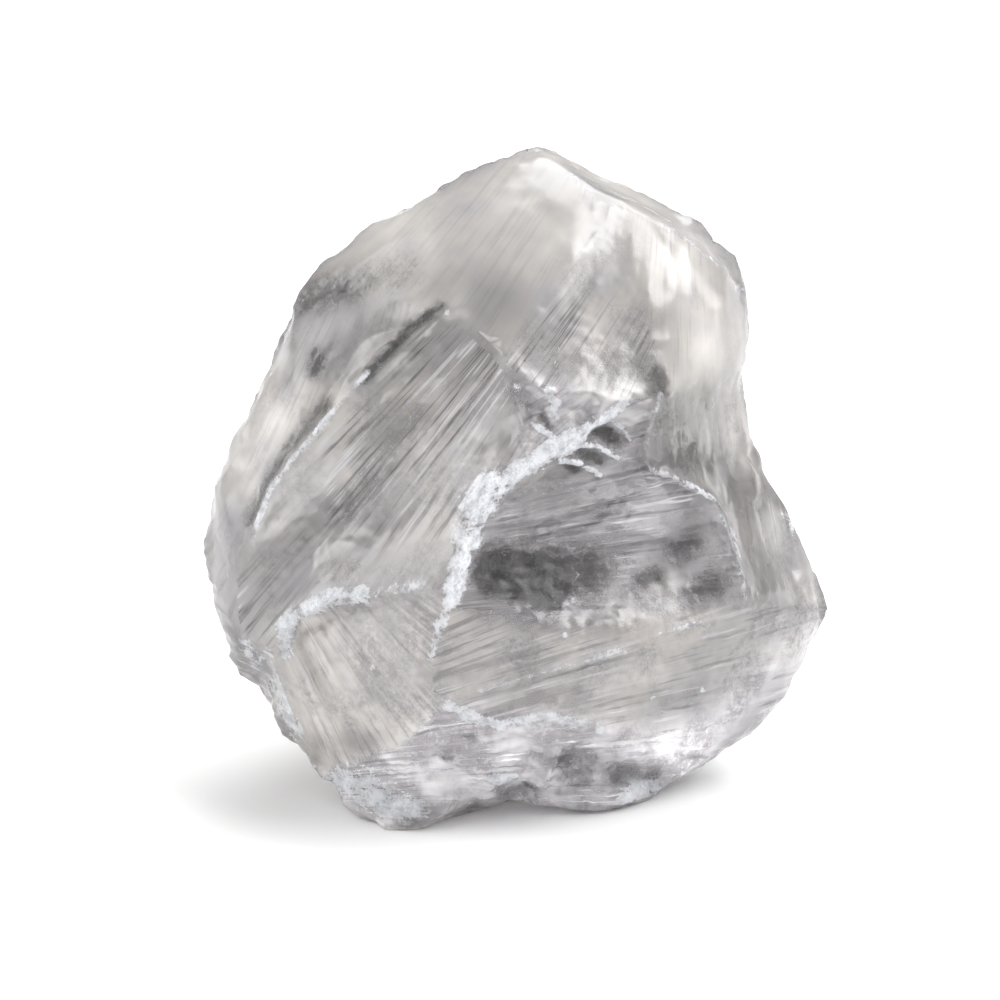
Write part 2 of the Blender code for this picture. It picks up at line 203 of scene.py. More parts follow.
# Frosted strokes: a line along a ridge or through places, its half width in mm, and its strength.
# From a strength of 1 up the middle is solid, and more makes the solid part wider.
FROST = [
    ([(5.0, 3.9), (3.6, 3.0), (2.4, 1.9)], 0.22, 1.3),
    ([(3.0, 2.5), (1.6, 1.7), (0.6, 1.1), (-0.2, 0.7)], 0.42, 1.4),
    ([(-0.2, 0.7), (-0.9, -0.2)], 0.75, 1.4),
    ([(-0.9, -0.2), (-1.4, -1.6)], 0.6, 1.3),
    ([(-1.4, -1.6), (-2.0, -4.0)], 0.42, 1.15),
    ([(-2.0, -4.0), (-2.8, -6.2)], 0.34, 0.8),
    ([(1.9, 4.4), (2.3, 3.9), (2.1, 3.4)], 0.2, 1.4),
    ([(1.3, 3.0), (2.0, 2.6)], 0.16, 0.9),
    ([(2.6, 4.2), (4.4, 4.6), (5.4, 4.3)], 0.16, 0.5),
    ([(2.4, 1.6), (3.2, 1.5), (4.0, 1.0)], 0.12, 1.2),
    ([(3.0, 2.2), (3.8, 2.2), (4.7, 1.7)], 0.12, 1.2),
    ([(4.3, 3.4), (4.9, 2.9), (5.2, 2.4)], 0.12, 1.1),
    (RIDGES["lip"], 0.18, 0.65),
    ([(-8.6, -6.0), (-8.6, -5.0), (-8.0, -4.4), (-6.8, -3.9), (-5.5, -3.8)], 0.4, 1.2),
    ([(-5.5, -3.8), (-3.2, -3.4)], 0.35, 0.7),
    ([(-9.2, -6.0), (-8.9, -7.6), (-8.0, -9.4)], 0.5, 0.6),
    ([(-10.3, -5.8), (-9.6, -6.4)], 0.5, 0.65),
    ([(-2.0, -8.2), (-1.0, -8.7), (0.0, -8.9)], 0.3, 1.1),
    ([(0.0, -8.9), (1.8, -8.6), (4.0, -9.1)], 0.25, 0.8),
    ([(-6.2, -11.2), (-4.6, -12.0), (-3.8, -12.2)], 0.8, 0.9),
    ([(-0.2, -11.1), (0.6, -11.2)], 0.35, 1.0),
    ([(4.9, -11.9), (6.0, -11.4)], 0.4, 1.0),
    ([(-0.8, -7.6), (4.0, -6.2), (8.0, -4.8)], 0.16, 0.65),
    (RIDGES["heel"], 0.6, 0.3),
    ([(-5.3, 5.1), (-7.8, 2.2), (-9.2, 0.4), (-9.9, -1.6)], 0.15, 0.85),
    (RIDGES["rim"], 0.2, 0.5),
    ([(-6.4, -12.2), (-3.0, -12.6), (2.0, -11.8), (7.0, -10.8)], 0.6, 0.35),
    ([(11.4, -0.6), (12.8, -3.6)], 0.5, 0.5),
]

# Smoky strokes, in the same form. Besides the stone's smoke they paint shade: in the scoop, along the
# spine's groove and under the sill's fold.
SMOKE_AND_SHADE = [
    ([(-0.3, -2.7), (3.4, -2.8)], 1.4, 1.05),
    ([(0.0, -2.9), (1.9, -3.2)], 1.0, 2.6),
    ([(0.6, 0.4), (4.8, 0.2)], 1.2, 0.5),
    ([(-0.6, -4.5), (5.2, -5.0)], 0.9, 0.5),
    ([(5.7, -3.2), (6.2, -3.1)], 0.6, 0.85),
    ([(7.2, -1.9), (7.6, -1.6)], 0.8, 0.95),
    ([(7.8, -3.7), (8.5, -3.4)], 0.7, 0.95),
    ([(-2.4, 7.7), (-3.6, 6.9), (-5.4, 4.9)], 0.3, 1.0),
    ([(-6.9, 3.9), (-8.9, 1.5), (-10.0, -0.8)], 0.4, 0.75),
    ([(-7.3, 5.7), (-7.4, 5.2)], 0.5, 0.95),
    ([(-7.7, 8.1), (-6.2, 8.5)], 0.9, 0.85),
    ([(-5.9, 8.3), (-5.3, 8.8)], 0.9, 0.7),
    ([(-4.8, 8.9), (-3.7, 9.2)], 1.1, 0.5),
    ([(-3.4, 3.4), (-6.2, -0.6)], 1.1, 0.5),
    ([(1.2, 3.4), (0.4, 4.6)], 0.9, 0.5),
    ([(6.2, 5.0), (6.3, 4.4)], 0.55, 0.9),
    ([(2.4, 5.4), (5.6, 5.2)], 0.9, 0.6),
    ([(6.6, 3.4), (7.6, 1.4)], 1.2, 0.65),
    ([(3.7, 2.9), (4.5, 2.5)], 0.4, 1.2),
    ([(3.2, 1.9), (4.0, 1.6)], 0.32, 1.1),
    ([(2.5, 1.7), (3.0, 1.2)], 0.3, 1.1),
    ([(1.7, 3.4), (1.9, 2.9)], 0.3, 0.9),
    ([(2.0, -10.4), (3.6, -10.4)], 0.6, 0.8),
    ([(4.4, -10.9), (5.8, -11.2)], 0.6, 0.9),
    ([(0.2, -11.7), (0.9, -11.5)], 0.5, 0.6),
    ([(-3.8, -12.8), (-2.8, -12.4)], 0.5, 0.7),
    ([(-6.0, -9.6), (-1.0, -10.2)], 0.7, 0.4),
]

# Milky strokes, in the same form. The first two are a painted highlight on the right face.
MILK_AND_HIGHLIGHTS = [
    ([(7.2, 9.6), (8.2, 6.4)], 1.2, 0.9),
    ([(7.3, 9.5), (8.5, 7.9)], 0.45, 1.2),
    ([(9.2, 4.4), (9.6, 1.4)], 0.6, 0.6),
    ([(-4.0, 10.6), (0.4, 10.6)], 1.8, 0.2),
    ([(-8.6, 3.6), (-9.6, 0.6)], 0.9, 0.5),
    ([(12.4, -5.6), (7.0, -10.2)], 1.1, 1.05),
    ([(11.0, -1.0), (12.6, -3.6)], 0.9, 1.0),
    ([(5.2, -1.0), (5.0, -3.4)], 0.8, 0.4),
]

# Strokes where the streaks fade, in the same form.
CALM = [
    ([(-9.6, -1.0), (-8.0, -3.0)], 1.6, 0.8),
    ([(-5.8, -2.6), (-2.6, -2.2)], 1.3, 0.9),
    ([(4.6, 6.6), (5.2, 8.4)], 1.0, 0.7),
]

# Glints: small painted highlights, drawn as dots of frost.
PAINTED_GLINTS = [
    (5.0, -6.1), (8.1, -7.6), (6.4, -4.0), (-5.1, -6.7),
    (-2.1, 7.5), (-1.6, -3.2), (2.6, -5.4), (6.1, -7.9),
]
PAINTED_GLINT_RADIUS = 0.16

# The noises that shape the stone: how many lumps there are to a mm, and a shift that sets one
# noise apart from another.
HACKLE_NOISE = (1.6, 0.0)
FINE_HACKLE_NOISE = (2.9, 5.0)
SWELL_NOISE = (1.4, 0.0)
GRIT_NOISE = (3.1, 9.0)
LUMP_NOISE = (1.3, 13.0)
FROST_NOISE = (0.9, 5.0)
CLOUD_NOISE = (0.16, 0.0)
MOTTLE_NOISE = (0.5, 7.0)
GRIT_PATCH_NOISE = (0.45, 11.0)
STREAK_PATCH_NOISE = (0.3, 3.0)
OCTAVES = 4  # how many times a cloudy noise is laid over itself, each time twice as fine
STREAK_LENGTH = 26.0  # how many times longer than wide a hackle is
FLAKES = (0.7, 0.7, 1.8)  # how the crumbly lumps are flattened along x, y and z

# The relief. Its heights are in mm, where the noise or the mark is at 1.
HACKLE_GAIN = 1.6  # how many times higher the hackles stand than their face says
FINE_HACKLES = 0.7  # how high the finer hackles are, against the coarser
SWELLS = 0.03
GRAINS = 0.04  # where the grit is at 1
CREST = 0.08  # how far frost stands out
DENT = 0.07  # how far the smoke and painted shade sink in
DENT_FROM = 0.6  # the strength of smoke and painted shade that dents start at
DENT_MOST = 0.8  # the strength beyond that at which they grow no deeper
FLAT_FOOT = 0.3  # the relief fades out over this height above the ground

# The crumbs: lumps of frost and smoke on the grittiest faces, the sides and the back.
LUMPS = 0.9  # how strong the lumps are
CRUMBLES_FROM = 1.0  # the grit that crumbs start at
BACK_CRUMBS = 0.9  # how crumbly the sides and the back are
SMOKE_LUMPS_FROM = 0.15  # lumps above this are smoke, and those below 0 are frost
FROST_GAPS = 0.5  # how much the frosted strokes come and go

# How the finish drifts over the stone.
FROSTED_RIDGE = 0.05  # how far a point stands out of its neighbours to be frosted as a ridge
RIDGE_FROST = 0.4  # how strongly such a ridge is frosted
FULL_PIT = 0.04  # how far a point sinks below its neighbours to get a pit's full painted shade
HAZE_DRIFT, TONE_DRIFT = 0.5, 0.12
WARMTH_DRIFT, WARMTH_MOTTLE = 0.6, 0.4
MILK_AND_HIGHLIGHT_HAZE, MILK_AND_HIGHLIGHT_TONE = 0.25, 0.25  # what milk and the painted highlight add to each

# How many times over the mesh's points are averaged with their neighbours, for each purpose.
FOLD_ROUNDS = 80
FINISH_ROUNDS = 60
GRIT_ROUNDS = 20
BULGE_ROUNDS = 3

# The material's noises: scale, detail and roughness.
NEEDLES = (5.4, 2.0, 0.6)
FINE_GRAIN = (2.2, 4.0, 0.9)

# How far noise tears the edges of the frost and of the smoke and painted shade.
FROST_BY_GRAIN, FROST_BY_NEEDLES = 2.0, 1.6
SMOKE_AND_SHADE_BY_NEEDLES, SMOKE_AND_SHADE_BY_GRAIN = 1.2, 2.6

# Where a noise or a mark starts to count, and where it counts in full.
FROST_RANGE = (0.28, 1.0)
SMOKE_AND_SHADE_RANGE = (0.05, 1.15)
PALE_NEEDLES = (0.54, 0.65)
DARK_NEEDLES = (0.48, 0.35)
GREY_GRAINS = (0.72, 0.28)
SMOKE_AND_SHADE_GRAINS = (0.35, 0.65)
FROST_GRAINS = (0.38, 0.60)
ROUGH_GRAINS = (0.4, 0.6)
ROUGH_FROST = (0.3, 0.8)
ROUGH_SMOKE_AND_SHADE = (0.5, 0.9)

# The stone's colours.
BLUISH_GLASS = (0.855, 0.835, 0.88, 1.0)
CREAM_GLASS = (0.925, 0.88, 0.835, 1.0)
GRAIN_GREY = (0.42, 0.40, 0.42, 1.0)
DARK_STREAK = (0.19, 0.18, 0.20, 1.0)
PALE_STREAK = (0.98, 0.97, 0.99, 1.0)
# The painted shade in pits.
PIT_SHADE_GREY = (0.20, 0.20, 0.21, 1.0)
SMOKE_AND_SHADE_BLACK = (0.005, 0.005, 0.005, 1.0)
SMOKE_AND_SHADE_GREY = (0.10, 0.095, 0.095, 1.0)
FROST_SHADE = (0.54, 0.56, 0.59, 1.0)
FROST_WHITE = (0.92, 0.94, 0.98, 1.0)
DEEP_GLASS = (0.62, 0.60, 0.59, 1.0)  # what the inside lets through

# The stone's finish.
DARK_SHARE, PIT_SHADE_SHARE = 0.8, 0.25  # how much of the colour of a dark streak and of a pit's painted shade shows
FROST_HAZE, STREAK_HAZE, SMOKE_AND_SHADE_HAZE = 0.75, 0.7, 0.7  # how much of the light each of them stops
GLASS_ROUGHNESS = (0.16, 0.22)  # between the fine grains and on them
FROST_ROUGHNESS, SMOKE_AND_SHADE_ROUGHNESS = 0.35, 0.3  # what frost and the smoke and painted shade add to it
IOR = 1.6  # how strongly the glass bends light
ABSORPTION = 80.0  # how densely the inside takes up light, for each metre
GRAIN_BUMP = 0.08  # how high the fine grains stand
BUMP_STRENGTH = 0.7  # how strongly they show where the grit is at 1

# The floor.
FLOOR_SIZE = 3000.0
FLOOR_WHITE = (0.95, 0.95, 0.95, 1.0)
FLOOR_ROUGHNESS = 0.9

# The light tent's bright patches: the way each lies from the stone, its radius as seen from there
# in degrees, and its brightness.
SOFTBOXES = [
    ((120, 240, 380), 24.0, 4.7),
    ((-390, -20, 230), 28.0, 2.3),
    ((330, -15, 340), 20.0, 6.5),
]
PATCH_EDGE = 4.0  # how far a patch's soft edge reaches either way, in degrees
TENT = 0.37  # how bright the tent is between them
WHITE = (1.0, 1.0, 1.0, 1.0)


def smoothed_solid(node):
    """The CAD solid's mesh with its facets smoothed and its ridges kept, in mm."""
    net = bmesh.new()
    net.from_mesh(node.data)
    net.transform(Matrix.Scale(1.0 / MM, 4))
    bmesh.ops.remove_doubles(net, verts=net.verts, dist=WELD)
    crease = net.edges.layers.float.new("crease_edge")
    for edge in net.edges:
        edge[crease] = RIDGE_CREASE if edge.calc_face_angle(0.0) > RIDGE_ANGLE else 0.0
    mesh = bpy.data.meshes.new("zircon")
    net.to_mesh(mesh)
    net.free()
    crystal = bpy.data.objects.new("zircon", mesh)
    bpy.context.scene.collection.objects.link(crystal)
    smoother = crystal.modifiers.new("smooth", "SUBSURF")
    smoother.levels = smoother.render_levels = SMOOTHING
    graph = bpy.context.evaluated_depsgraph_get()
    smooth = bpy.data.meshes.new_from_object(crystal.evaluated_get(graph))
    crystal.modifiers.clear()
    crystal.data = smooth
    bpy.data.meshes.remove(mesh)
    return crystal


def vectors(collection, field):
    """A mesh's points or normals, one to a row."""
    flat = np.empty(len(collection) * 3)
    collection.foreach_get(field, flat)
    return flat.reshape(-1, 3)


def rough(points, scale, shift):
    """Smooth random heights between -1 and 1 at each point."""
    return np.array([noise.noise(Vector(point) * scale + Vector((shift, 0.0, 0.0))) for point in points])


def cloudy(points, scale, shift):
    """The same with finer and finer heights laid over it."""
    return sum(
        rough(points, scale * 2.0**octave, shift + octave) * 0.5**octave for octave in range(OCTAVES)
    )


def patchy(points, settings, middle, swing, least, most):
    """A cloudy noise that swings about a middle value, kept between a least and a most."""
    return np.clip(middle + swing * cloudy(points, *settings), least, most)


def away_from(places, line):
    """How far each place is from a line. A line of one place given twice is a dot."""
    nearest = np.full(len(places), np.inf)
    for start, end in zip(line, line[1:]):
        start, end = np.array(start), np.array(end)
        along = end - start
        share = np.clip((places - start) @ along / (along @ along + TINY), 0.0, 1.0)
        nearest = np.minimum(nearest, np.linalg.norm(places - start - share[:, None] * along, axis=1))
    return nearest


def inside(places, outline):
    """Whether each place lies in an outline."""
    within = np.zeros(len(places), bool)
    for (x1, y1), (x2, y2) in zip(outline, outline[1:] + outline[:1]):
        if y1 == y2:
            continue
        crosses = (places[:, 1] < y1) != (places[:, 1] < y2)
        within ^= crosses & (places[:, 0] < x1 + (places[:, 1] - y1) * (x2 - x1) / (y2 - y1))
    return within


def stroke(places, line, half_width):
    """1 on a line, falling away smoothly over its half width."""
    return np.exp(-((away_from(places, line) / half_width) ** 2))


def front_view(points):
    """Where the camera sees each point, (across, up), and how far out of the picture's plane it is."""
    across, up, out = ((points - np.array(AIM)) @ np.array(axis) for axis in (ACROSS, UP, OUT))
    nearer = CAMERA_AWAY / (CAMERA_AWAY - out)
    return np.stack([across * nearer, up * nearer], axis=1), out


def facing(normals):
    """1 where the surface looks at the camera, falling to 0 where it turns away."""
    return np.clip(normals @ np.array(OUT) / TURNED_AWAY, 0.0, 1.0)


class Net:
    """Which points of a mesh are neighbours."""

    def __init__(self, mesh):
        ends = np.empty(len(mesh.edges) * 2, np.int64)
        mesh.edges.foreach_get("vertices", ends)
        ends = ends.reshape(-1, 2)
        self.ends = np.concatenate([ends, ends[:, ::-1]])
        self.size = len(mesh.vertices)
        self.counts = np.bincount(self.ends[:, 0], minlength=self.size)

    def around(self, values):
        """The mean of each point's neighbours."""
        return np.bincount(self.ends[:, 0], values[self.ends[:, 1]], self.size) / self.counts

    def smeared(self, values, rounds):
        """Values averaged with their neighbours' a number of times."""
        for _ in range(rounds):
            values = 0.5 * (values + self.around(values))
        return values

    def bulge(self, points, normals):
        """How far each point stands out of its neighbours, in mm. It is below 0 in a pit."""
        around = np.stack([self.around(points[:, axis]) for axis in range(3)], axis=1)
        return self.smeared(((points - around) * normals).sum(axis=1), BULGE_ROUNDS)


def soften_folds(mesh, net):
    """Rounds off the ridges that are only soft folds. The mesh is in mm."""
    points = vectors(mesh.vertices, "co")
    seen, _ = front_view(points)
    near = np.max([stroke(seen, RIDGES[name], FOLD_WIDTH) for name in FOLDS], axis=0)
    near *= facing(vectors(mesh.vertex_normals, "vector"))
    softened = np.stack([net.smeared(points[:, axis], FOLD_ROUNDS) for axis in range(3)], axis=1)
    points += near[:, None] * (softened - points)
    mesh.vertices.foreach_set("co", points.ravel())
    mesh.update()


class Surface:
    """The stone's points in mm, and what lies on it at each: its finish, its frost, and its smoke with
    painted shade.
    """

    def __init__(self, mesh, net):
        self.points = vectors(mesh.vertices, "co")
        self.normals = vectors(mesh.vertex_normals, "vector")
        self.seen, self.out = front_view(self.points)
        self.front = facing(self.normals)
        self.finish = {quality: np.full(len(self.points), value) for quality, value in BACK.items()}
        from_behind = self.points[:, [0, 2]]
        above, below = (self.rays(from_behind, fan) for fan in BACK_FANS)
        self.grain = np.where(from_behind[:, 1:] > BACK_LEDGE, above, below)
        for face in FACES.values():
            self.lay(face)

        crumbly, lumps = self.crumbs(net)
        self.frost = self.strokes(FROST) * (1.0 + FROST_GAPS * cloudy(self.points, *FROST_NOISE))
        self.frost += crumbly * np.clip(-lumps, 0.0, 1.0)
        # The smoky strokes, which also paint shade in the scoop, the spine's groove and under the sill,
        # and the dark crumbs.
        self.smoke_and_shade = self.strokes(SMOKE_AND_SHADE) + crumbly * np.clip(lumps - SMOKE_LUMPS_FROM, 0.0, 1.0)

    def rays(self, places, origin):
        """A coordinate that changes quickly across the rays from an origin and slowly along them."""
        away = places - np.array(origin)
        reach = np.linalg.norm(away, axis=1)
        turn = np.arctan2(away[:, 0], away[:, 1])
        across = turn * np.median(reach)
        return np.stack([across, reach / STREAK_LENGTH, self.out / STREAK_LENGTH], axis=1)

    def lay(self, face):
        """Gives the points of one face its grain and its finish."""
        outline = face.outline()
        within = inside(self.seen, outline) & (self.front > 0.0)
        edge = np.clip(away_from(self.seen, outline + outline[:1]) / FACE_EDGE, 0.0, 1.0)
        self.grain[within] = self.rays(self.seen, face.fan)[within]
        for quality, value in face.finish.items():
            self.finish[quality][within] = value
        self.finish["hackle"][within] *= edge[within]

    def strokes(self, table):
        """The strongest of a table's strokes at each point of the front."""
        drawn = np.zeros(len(self.points))
        for line, half_width, strength in table:
            drawn = np.maximum(drawn, strength * stroke(self.seen, line, half_width))
        return drawn * self.front

    def crumbs(self, net):
        """How crumbly the surface is at each point, and the lumps there: frost below 0, smoke above."""
        crumbly = np.clip(net.smeared(self.finish["grit"], GRIT_ROUNDS) - CRUMBLES_FROM, 0.0, 1.0)
        crumbly += BACK_CRUMBS * (1.0 - self.front)
        return crumbly, LUMPS * cloudy(self.points * FLAKES, *LUMP_NOISE)

    def relief(self):
        """Heights of the hackles, the frosted crests, the dents under the smoke and painted shade, and
        the fine unevenness.
        """
        hackles = rough(self.grain, *HACKLE_NOISE) + FINE_HACKLES * rough(self.grain, *FINE_HACKLE_NOISE)
        grains = GRAINS * self.finish["grit"] * rough(self.points, *GRIT_NOISE)
        heights = HACKLE_GAIN * self.finish["hackle"] * hackles
        heights += SWELLS * rough(self.points, *SWELL_NOISE) + grains
        heights += CREST * self.frost - DENT * np.clip(self.smoke_and_shade - DENT_FROM, 0.0, DENT_MOST)
        return heights * np.clip(self.points[:, 2] / FLAT_FOOT, 0.0, 1.0)

    def raised(self):
        """The points with the relief raised on them and the foot kept on the ground."""
        points = self.points + self.normals * self.relief()[:, None]
        points[:, 2] = np.maximum(points[:, 2], 0.0)
        return points


def give(mesh, name, values):
    """Stores a value for each point, which the material reads by name."""
    kind = "FLOAT" if values.ndim == 1 else "FLOAT_VECTOR"
    field = "value" if values.ndim == 1 else "vector"
    mesh.attributes.new(name, kind, "POINT").data.foreach_set(field, values.astype(np.float32).ravel())


def give_finish(mesh, net, surface, points):
    """Stores all that the material reads at each point. The points are the raised ones, in mm."""
    bulge = net.bulge(points, surface.normals)
    # Painted glints: small white dots of frost that stand in for highlights. They go into the frost.
    painted_glints = np.max([stroke(surface.seen, [painted_glint, painted_glint], PAINTED_GLINT_RADIUS) for painted_glint in PAINTED_GLINTS], axis=0)
    frost = np.maximum(surface.frost, painted_glints * surface.front)
    give(mesh, "frost", np.maximum(frost, np.clip(bulge / FROSTED_RIDGE, 0.0, 1.0) * RIDGE_FROST))
    give(mesh, "smoke_and_shade", surface.smoke_and_shade)
    # Painted shade: points that sink below their neighbours are darkened.
    give(mesh, "pit_shade", np.clip(-bulge / FULL_PIT, 0.0, 1.0))

    haze, tone_and_shading, warmth = (
        net.smeared(surface.finish[quality], FINISH_ROUNDS) for quality in ("haze", "tone_and_shading", "warmth")
    )
    # The milky strokes, with a painted highlight on the right face.
    milk_and_highlights = surface.strokes(MILK_AND_HIGHLIGHTS)
    clouds = cloudy(points, *CLOUD_NOISE)
    mottle = cloudy(points, *MOTTLE_NOISE)
    give(mesh, "haze", haze * (1.0 + HAZE_DRIFT * clouds) + MILK_AND_HIGHLIGHT_HAZE * milk_and_highlights)
    # Painted light and shade: each face's tone, set by how lit it looks, with a random mottle and the
    # painted highlight added.
    give(mesh, "tone_and_shading", tone_and_shading * (1.0 + TONE_DRIFT * mottle) + MILK_AND_HIGHLIGHT_TONE * milk_and_highlights)
    give(mesh, "warmth", warmth + WARMTH_DRIFT * clouds + WARMTH_MOTTLE * mottle)

    grit = net.smeared(surface.finish["grit"], GRIT_ROUNDS)
    patches = patchy(points, GRIT_PATCH_NOISE, middle=0.6, swing=1.6, least=0.0, most=1.2)
    give(mesh, "grit", grit * patches)
    streaks = surface.finish["streaks"] * (1.0 - surface.strokes(CALM))
    breaks = patchy(points, STREAK_PATCH_NOISE, middle=0.8, swing=1.5, least=0.2, most=1.0)
    give(mesh, "streaks", streaks * breaks)
    give(mesh, "grain", surface.grain)


def make_crystal():
    """The stone, with its relief raised and its finish stored for its material."""
    crystal = smoothed_solid(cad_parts["zircon_crystal"])
    mesh = crystal.data
    net = Net(mesh)
    soften_folds(mesh, net)
    surface = Surface(mesh, net)
    points = surface.raised()
    mesh.vertices.foreach_set("co", points.ravel() * MM)
    mesh.update()
    give_finish(mesh, net, surface, points)
    mesh.shade_smooth()
    mesh.materials.clear()
    mesh.materials.append(smoky_zircon())
    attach(crystal, "root")
    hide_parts("zircon_crystal")


class Nodes:
    """Short calls for building the node tree of a material or of the world."""

    def __init__(self, owner, shader, output):
        owner.use_nodes = True
        self.tree = owner.node_tree
        self.shader = self.tree.nodes[shader]
        self.output = self.tree.nodes[output]

    def put(self, value, socket):
        """Links another node's output to a socket, or sets a plain value there."""
        if isinstance(value, bpy.types.NodeSocket):
            self.tree.links.new(value, socket)
        else:
            socket.default_value = value

    def attribute(self, name, output="Fac"):
        """What the mesh stores under a name."""
        node = self.tree.nodes.new("ShaderNodeAttribute")
        node.attribute_name = name
        return node.outputs[output]

    def math(self, operation, first, second, clamp=False):
        """Works with two numbers, and keeps the result from 0 to 1 if it is clamped."""
        node = self.tree.nodes.new("ShaderNodeMath")
        node.operation = operation
        node.use_clamp = clamp
        self.put(first, node.inputs[0])
        self.put(second, node.inputs[1])
        return node.outputs[0]

    def place(self):
        """The point itself, in mm."""
        inside_object = self.tree.nodes.new("ShaderNodeTexCoord").outputs["Object"]
        node = self.tree.nodes.new("ShaderNodeMapping")
        self.put(inside_object, node.inputs["Vector"])
        node.inputs["Scale"].default_value = (1.0 / MM, 1.0 / MM, 1.0 / MM)
        return node.outputs[0]

    def direction(self):
        """Which way the world is looked at."""
        return self.tree.nodes.new("ShaderNodeTexCoord").outputs["Generated"]

    def along(self, vector, towards):
        """How far a unit vector points towards a place."""
        node = self.tree.nodes.new("ShaderNodeVectorMath")
        node.operation = "DOT_PRODUCT"
        self.put(vector, node.inputs[0])
        node.inputs[1].default_value = Vector(towards).normalized()
        return node.outputs["Value"]

    def noise(self, vector, scale, detail, roughness):
        """A cloudy pattern, mostly near 0.5."""
        node = self.tree.nodes.new("ShaderNodeTexNoise")
        self.put(vector, node.inputs["Vector"])
        node.inputs["Scale"].default_value = scale
        node.inputs["Detail"].default_value = detail
        node.inputs["Roughness"].default_value = roughness
        return node.outputs["Fac"]

    def ramp(self, value, low, high, start=0.0, end=1.0):
        """Goes smoothly from start, where the value is at low, to end, where it is at high."""
        node = self.tree.nodes.new("ShaderNodeMapRange")
        node.interpolation_type = "SMOOTHSTEP"
        self.put(value, node.inputs["Value"])
        self.put(low, node.inputs["From Min"])
        self.put(high, node.inputs["From Max"])
        self.put(start, node.inputs["To Min"])
        self.put(end, node.inputs["To Max"])
        return node.outputs["Result"]

    def mix(self, share, first, second, blend="MIX"):
        """Blends the second colour into the first by a share.

        The node's colour sockets come after its number and vector ones.
        """
        node = self.tree.nodes.new("ShaderNodeMix")
        node.data_type = "RGBA"
        node.blend_type = blend
        first_colour, second_colour = node.inputs[6:8]
        self.put(share, node.inputs["Factor"])
        self.put(first, first_colour)
        self.put(second, second_colour)
        return node.outputs[2]

    def shaken(self, value, grain, by):
        """A value scaled up and down by a noise, so that its edge turns ragged."""
        share = self.math("ADD", 1.0, self.math("MULTIPLY", self.math("SUBTRACT", grain, 0.5), by))
        return self.math("MULTIPLY", value, share)

    def bump(self, height, distance, strength):
        """A direction for the surface, bent by a height. The distance is in metres."""
        node = self.tree.nodes.new("ShaderNodeBump")
        node.inputs["Distance"].default_value = distance
        self.put(height, node.inputs["Height"])
        self.put(strength, node.inputs["Strength"])
        return node.outputs[0]


class Marks:
    """The noises and marks that the stone's colour, haze and roughness share."""

    def __init__(self, nodes):
        self.needles = nodes.noise(nodes.attribute("grain", "Vector"), *NEEDLES)
        self.fine = nodes.noise(nodes.place(), *FINE_GRAIN)
        # The frost mark also holds the painted glints.
        frost = nodes.shaken(nodes.attribute("frost"), self.fine, FROST_BY_GRAIN)
        self.frost = nodes.ramp(nodes.shaken(frost, self.needles, FROST_BY_NEEDLES), *FROST_RANGE)
        # The smoke mark: the stone's smoke together with painted shade.
        smoke_and_shade = nodes.shaken(nodes.attribute("smoke_and_shade"), self.needles, SMOKE_AND_SHADE_BY_NEEDLES)
        self.smoke_and_shade = nodes.ramp(nodes.shaken(smoke_and_shade, self.fine, SMOKE_AND_SHADE_BY_GRAIN), *SMOKE_AND_SHADE_RANGE)
        streaks = nodes.attribute("streaks")
        self.pale = nodes.math("MULTIPLY", nodes.ramp(self.needles, *PALE_NEEDLES), streaks)
        dark = nodes.ramp(self.needles, *DARK_NEEDLES, 0.0, DARK_SHARE)
        self.dark = nodes.math("MULTIPLY", dark, streaks)


def stone_colour(nodes, marks):
    """Bluish or cream glass with grey grains, dark and pale streaks, smoke with painted shade, painted
    shade in pits, frost with painted glints, and each face's painted light and shade multiplied in.
    """
    body = nodes.mix(nodes.attribute("warmth"), BLUISH_GLASS, CREAM_GLASS)
    grains = nodes.math("MULTIPLY", nodes.ramp(marks.fine, *GREY_GRAINS), nodes.attribute("grit"))
    body = nodes.mix(grains, body, GRAIN_GREY)
    body = nodes.mix(marks.dark, body, DARK_STREAK)
    body = nodes.mix(marks.pale, body, PALE_STREAK)
    # Near-black for the smoke and for the painted shade in the scoop, the groove and the folds.
    smoke_and_shade_colour = nodes.mix(nodes.ramp(marks.fine, *SMOKE_AND_SHADE_GRAINS), SMOKE_AND_SHADE_BLACK, SMOKE_AND_SHADE_GREY)
    body = nodes.mix(marks.smoke_and_shade, body, smoke_and_shade_colour)
    # Painted shade in the pits.
    body = nodes.mix(nodes.math("MULTIPLY", nodes.attribute("pit_shade"), PIT_SHADE_SHARE), body, PIT_SHADE_GREY)
    # Multiplies in the tone, which paints each face's light and shade.
    body = nodes.mix(1.0, body, nodes.attribute("tone_and_shading"), "MULTIPLY")
    frosted = nodes.mix(nodes.ramp(marks.fine, *FROST_GRAINS), FROST_SHADE, FROST_WHITE)
    return nodes.mix(marks.frost, body, frosted)


def stone_clearness(nodes, marks):
    """How much of the light goes through the surface."""
    hazy = nodes.attribute("haze")
    for mark, haze in ((marks.frost, FROST_HAZE), (marks.pale, STREAK_HAZE), (marks.smoke_and_shade, SMOKE_AND_SHADE_HAZE)):
        hazy = nodes.math("MAXIMUM", hazy, nodes.math("MULTIPLY", mark, haze))
    return nodes.math("SUBTRACT", 1.0, hazy, clamp=True)


def stone_roughness(nodes, marks):
    """Smooth glass, rougher under the frost and under the smoke and painted shade."""
    glass = nodes.ramp(marks.fine, *ROUGH_GRAINS, *GLASS_ROUGHNESS)
    frosted = nodes.ramp(marks.frost, *ROUGH_FROST, 0.0, FROST_ROUGHNESS)
    smoky_and_shaded = nodes.ramp(marks.smoke_and_shade, *ROUGH_SMOKE_AND_SHADE, 0.0, SMOKE_AND_SHADE_ROUGHNESS)
    return nodes.math("ADD", nodes.math("ADD", glass, frosted), smoky_and_shaded)


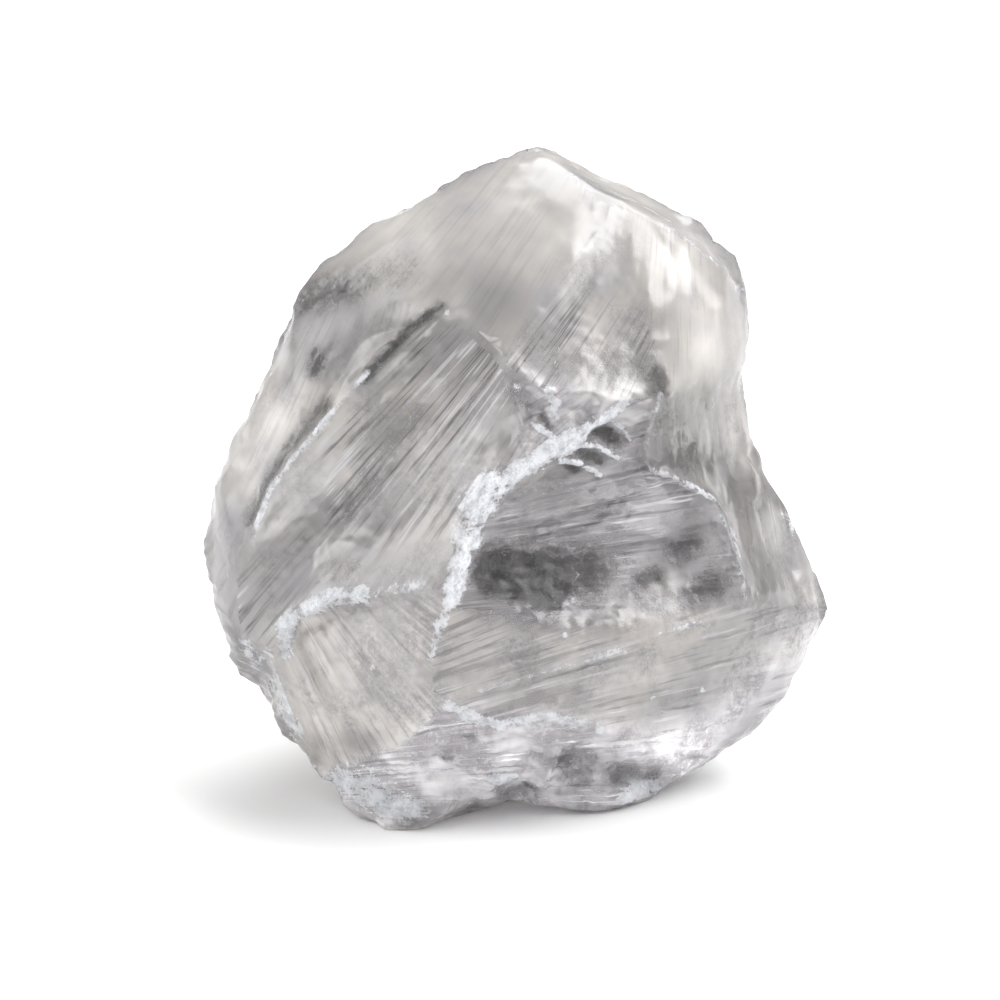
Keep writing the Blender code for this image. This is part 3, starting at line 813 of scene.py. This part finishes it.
def smoky_zircon():
    """Clear glass, marked on its surface, which takes up a little of the light inside it."""
    material = bpy.data.materials.new("clear_smoky_zircon")
    nodes = Nodes(material, "Principled BSDF", "Material Output")
    marks = Marks(nodes)
    grit = nodes.math("MULTIPLY", nodes.attribute("grit"), BUMP_STRENGTH)
    nodes.put(stone_colour(nodes, marks), nodes.shader.inputs["Base Color"])
    nodes.put(stone_clearness(nodes, marks), nodes.shader.inputs["Transmission Weight"])
    nodes.put(stone_roughness(nodes, marks), nodes.shader.inputs["Roughness"])
    nodes.put(nodes.bump(marks.fine, GRAIN_BUMP * MM, grit), nodes.shader.inputs["Normal"])
    nodes.shader.inputs["IOR"].default_value = IOR

    absorb = nodes.tree.nodes.new("ShaderNodeVolumeAbsorption")
    absorb.inputs["Color"].default_value = DEEP_GLASS
    absorb.inputs["Density"].default_value = ABSORPTION
    nodes.put(absorb.outputs[0], nodes.output.inputs["Volume"])
    return material


def pale_floor():
    material = bpy.data.materials.new("pale_floor")
    shader = Nodes(material, "Principled BSDF", "Material Output").shader
    shader.inputs["Base Color"].default_value = FLOOR_WHITE
    shader.inputs["Roughness"].default_value = FLOOR_ROUGHNESS
    return material


def make_floor():
    bpy.ops.mesh.primitive_plane_add(size=FLOOR_SIZE * MM)
    floor = bpy.context.object
    floor.name = "floor"
    floor.data.materials.append(pale_floor())


def make_world():
    """A light tent: dim white all round, with a soft bright patch for each softbox."""
    world = bpy.data.worlds.new("studio")
    bpy.context.scene.world = world
    nodes = Nodes(world, "Background", "World Output")
    brightness = TENT
    for towards, radius, strength in SOFTBOXES:
        inner = math.cos(math.radians(radius - PATCH_EDGE))
        outer = math.cos(math.radians(radius + PATCH_EDGE))
        patch = nodes.ramp(nodes.along(nodes.direction(), towards), outer, inner, 0.0, strength)
        brightness = nodes.math("ADD", patch, brightness)
    nodes.put(brightness, nodes.shader.inputs["Strength"])
    nodes.shader.inputs["Color"].default_value = WHITE
    world.cycles.sampling_method = "NONE"


def make_camera():
    """The camera, which looks down at the front of the stone."""
    camera = bpy.data.cameras.new("camera")
    camera.lens = LENS
    camera.sensor_fit = "HORIZONTAL"
    camera.sensor_width = SENSOR
    camera.clip_start, camera.clip_end = CLIP_START * MM, CLIP_END * MM
    holder = bpy.data.objects.new("camera", camera)
    bpy.context.scene.collection.objects.link(holder)
    holder.location = (AIM + OUT * CAMERA_AWAY) * MM
    holder.rotation_euler = (-OUT).to_track_quat("-Z", "Y").to_euler()
    bpy.context.scene.camera = holder


make_crystal()
make_floor()
make_world()
make_camera()
bpy.context.scene.view_settings.view_transform = "Standard"
bpy.context.view_layer.update()
